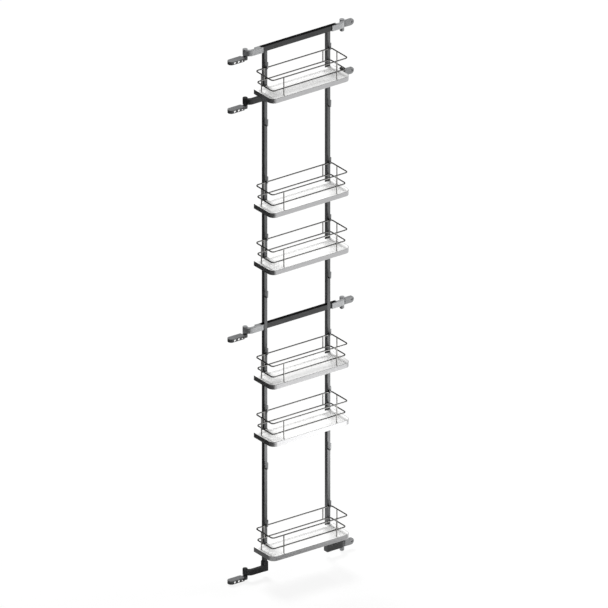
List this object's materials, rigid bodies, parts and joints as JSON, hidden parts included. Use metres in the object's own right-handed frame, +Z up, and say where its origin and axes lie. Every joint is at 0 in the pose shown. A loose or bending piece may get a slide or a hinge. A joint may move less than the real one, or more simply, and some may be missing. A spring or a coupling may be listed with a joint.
{
  "type": "pull out larder unit",
  "caption": "Tall larder pull-out frame: slim uprights with hooks, rails, removable white trays with wire railings, and side arms with swivelling screw and eye brackets.",
  "frame": {"origin": "under the middle of the unit's box, on the level of its lowest point, the ends of the bottom right swivel pin", "axes": "+X to the right seen from the front, where the trays hang; +Y to the back, where the brackets screw on; +Z up"},
  "size_m": [0.464, 0.1246, 1.7651],
  "materials": {
    "upright_paint": "satin silver-grey powder coat on steel tube",
    "rail_paint": "satin silver-grey powder coat on steel tube",
    "hook_steel": "same powder coat as the uprights, on bent steel strip",
    "light_arm": "light satin coat on a zinc casting",
    "dark_arm": "dark satin coat on a zinc casting",
    "screw_steel": "zinc-plated pan head screws",
    "pin_steel": "turned steel pins",
    "washer_nylon": "dark nylon",
    "ring_steel": "dark spring steel",
    "screw_bracket": "dark satin coat on a zinc casting",
    "eye_bracket": "mid-grey satin coat on a zinc casting",
    "shelf_board": "white melamine-faced chipboard, smooth",
    "edge_band": "satin aluminium-look edging",
    "railing_wire": "satin nickel-plated wire",
    "tray_fastener": "zinc-plated nuts and washers"
  },
  "bodies": {
    "frame": {"left_upright": "upright_paint", "right_upright": "upright_paint", "top_rail": "rail_paint", "middle_rail": "rail_paint", "middle_rail_stub_left": "rail_paint", "middle_rail_stub_right": "rail_paint", "left_hooks": "hook_steel", "right_hooks": "hook_steel", "top_arm_left": "light_arm", "top_arm_right": "light_arm", "upper_arm_left": "dark_arm", "upper_arm_right": "dark_arm", "middle_arm_left": "light_arm", "middle_arm_right": "light_arm", "bottom_arm_left": "dark_arm", "bottom_arm_right": "dark_arm", "arm_screws": "screw_steel", "swivel_pins": "pin_steel", "swivel_washers": "washer_nylon", "retaining_rings": "ring_steel"},
    "left_bracket_top": {"left_bracket_top": "screw_bracket"},
    "left_bracket_upper": {"left_bracket_upper": "screw_bracket"},
    "left_bracket_middle": {"left_bracket_middle": "screw_bracket"},
    "left_bracket_bottom": {"left_bracket_bottom": "screw_bracket"},
    "right_bracket_top": {"right_bracket_top": "eye_bracket"},
    "right_bracket_upper": {"right_bracket_upper": "eye_bracket"},
    "right_bracket_middle": {"right_bracket_middle": "eye_bracket"},
    "right_bracket_bottom": {"right_bracket_bottom": "eye_bracket"},
    "tray_1": {"tray_1_board": "shelf_board", "tray_1_edge_band": "edge_band", "tray_1_railing": "railing_wire", "tray_1_nuts": "tray_fastener", "tray_1_washers": "tray_fastener"},
    "tray_2": {"tray_2_board": "shelf_board", "tray_2_edge_band": "edge_band", "tray_2_railing": "railing_wire", "tray_2_nuts": "tray_fastener", "tray_2_washers": "tray_fastener"},
    "tray_3": {"tray_3_board": "shelf_board", "tray_3_edge_band": "edge_band", "tray_3_railing": "railing_wire", "tray_3_nuts": "tray_fastener", "tray_3_washers": "tray_fastener"},
    "tray_4": {"tray_4_board": "shelf_board", "tray_4_edge_band": "edge_band", "tray_4_railing": "railing_wire", "tray_4_nuts": "tray_fastener", "tray_4_washers": "tray_fastener"},
    "tray_5": {"tray_5_board": "shelf_board", "tray_5_edge_band": "edge_band", "tray_5_railing": "railing_wire", "tray_5_nuts": "tray_fastener", "tray_5_washers": "tray_fastener"},
    "tray_6": {"tray_6_board": "shelf_board", "tray_6_edge_band": "edge_band", "tray_6_railing": "railing_wire", "tray_6_nuts": "tray_fastener", "tray_6_washers": "tray_fastener"}
  },
  "joints": [
    {"name": "left_top_swivel", "type": "hinge", "parent": "frame", "child": "left_bracket_top", "pos_m": [-0.1691, 0.05092, 1.7403], "axis": [0, 0, 1], "range_deg": [0, 90]},
    {"name": "left_upper_swivel", "type": "hinge", "parent": "frame", "child": "left_bracket_upper", "pos_m": [-0.1691, 0.05092, 1.5789], "axis": [0, 0, 1], "range_deg": [0, 90]},
    {"name": "left_middle_swivel", "type": "hinge", "parent": "frame", "child": "left_bracket_middle", "pos_m": [-0.1691, 0.05092, 0.8189], "axis": [0, 0, 1], "range_deg": [0, 90]},
    {"name": "left_bottom_swivel", "type": "hinge", "parent": "frame", "child": "left_bracket_bottom", "pos_m": [-0.1691, 0.05092, 0.0155], "axis": [0, 0, 1], "range_deg": [0, 90]},
    {"name": "right_top_swivel", "type": "hinge", "parent": "frame", "child": "right_bracket_top", "pos_m": [0.1898, 0.05092, 1.7403], "axis": [0, 0, 1], "range_deg": [0, 90]},
    {"name": "right_upper_swivel", "type": "hinge", "parent": "frame", "child": "right_bracket_upper", "pos_m": [0.1898, 0.05092, 1.5789], "axis": [0, 0, 1], "range_deg": [0, 90]},
    {"name": "right_middle_swivel", "type": "hinge", "parent": "frame", "child": "right_bracket_middle", "pos_m": [0.1898, 0.05092, 0.8189], "axis": [0, 0, 1], "range_deg": [0, 90]},
    {"name": "right_bottom_swivel", "type": "hinge", "parent": "frame", "child": "right_bracket_bottom", "pos_m": [0.1898, 0.05092, 0.0155], "axis": [0, 0, 1], "range_deg": [0, 90]},
    {"name": "tray_1_lift", "type": "slide", "parent": "frame", "child": "tray_1", "axis": [0, 0, 1], "range_m": [0, 0.024]},
    {"name": "tray_2_lift", "type": "slide", "parent": "frame", "child": "tray_2", "axis": [0, 0, 1], "range_m": [0, 0.024]},
    {"name": "tray_3_lift", "type": "slide", "parent": "frame", "child": "tray_3", "axis": [0, 0, 1], "range_m": [0, 0.024]},
    {"name": "tray_4_lift", "type": "slide", "parent": "frame", "child": "tray_4", "axis": [0, 0, 1], "range_m": [0, 0.024]},
    {"name": "tray_5_lift", "type": "slide", "parent": "frame", "child": "tray_5", "axis": [0, 0, 1], "range_m": [0, 0.024]},
    {"name": "tray_6_lift", "type": "slide", "parent": "frame", "child": "tray_6", "axis": [0, 0, 1], "range_m": [0, 0.024]}
  ],
  "couplings": [
    {"joint": "left_upper_swivel", "follows": "left_top_swivel", "ratio": 1},
    {"joint": "left_middle_swivel", "follows": "left_top_swivel", "ratio": 1},
    {"joint": "left_bottom_swivel", "follows": "left_top_swivel", "ratio": 1},
    {"joint": "right_upper_swivel", "follows": "right_top_swivel", "ratio": 1},
    {"joint": "right_middle_swivel", "follows": "right_top_swivel", "ratio": 1},
    {"joint": "right_bottom_swivel", "follows": "right_top_swivel", "ratio": 1}
  ]
}
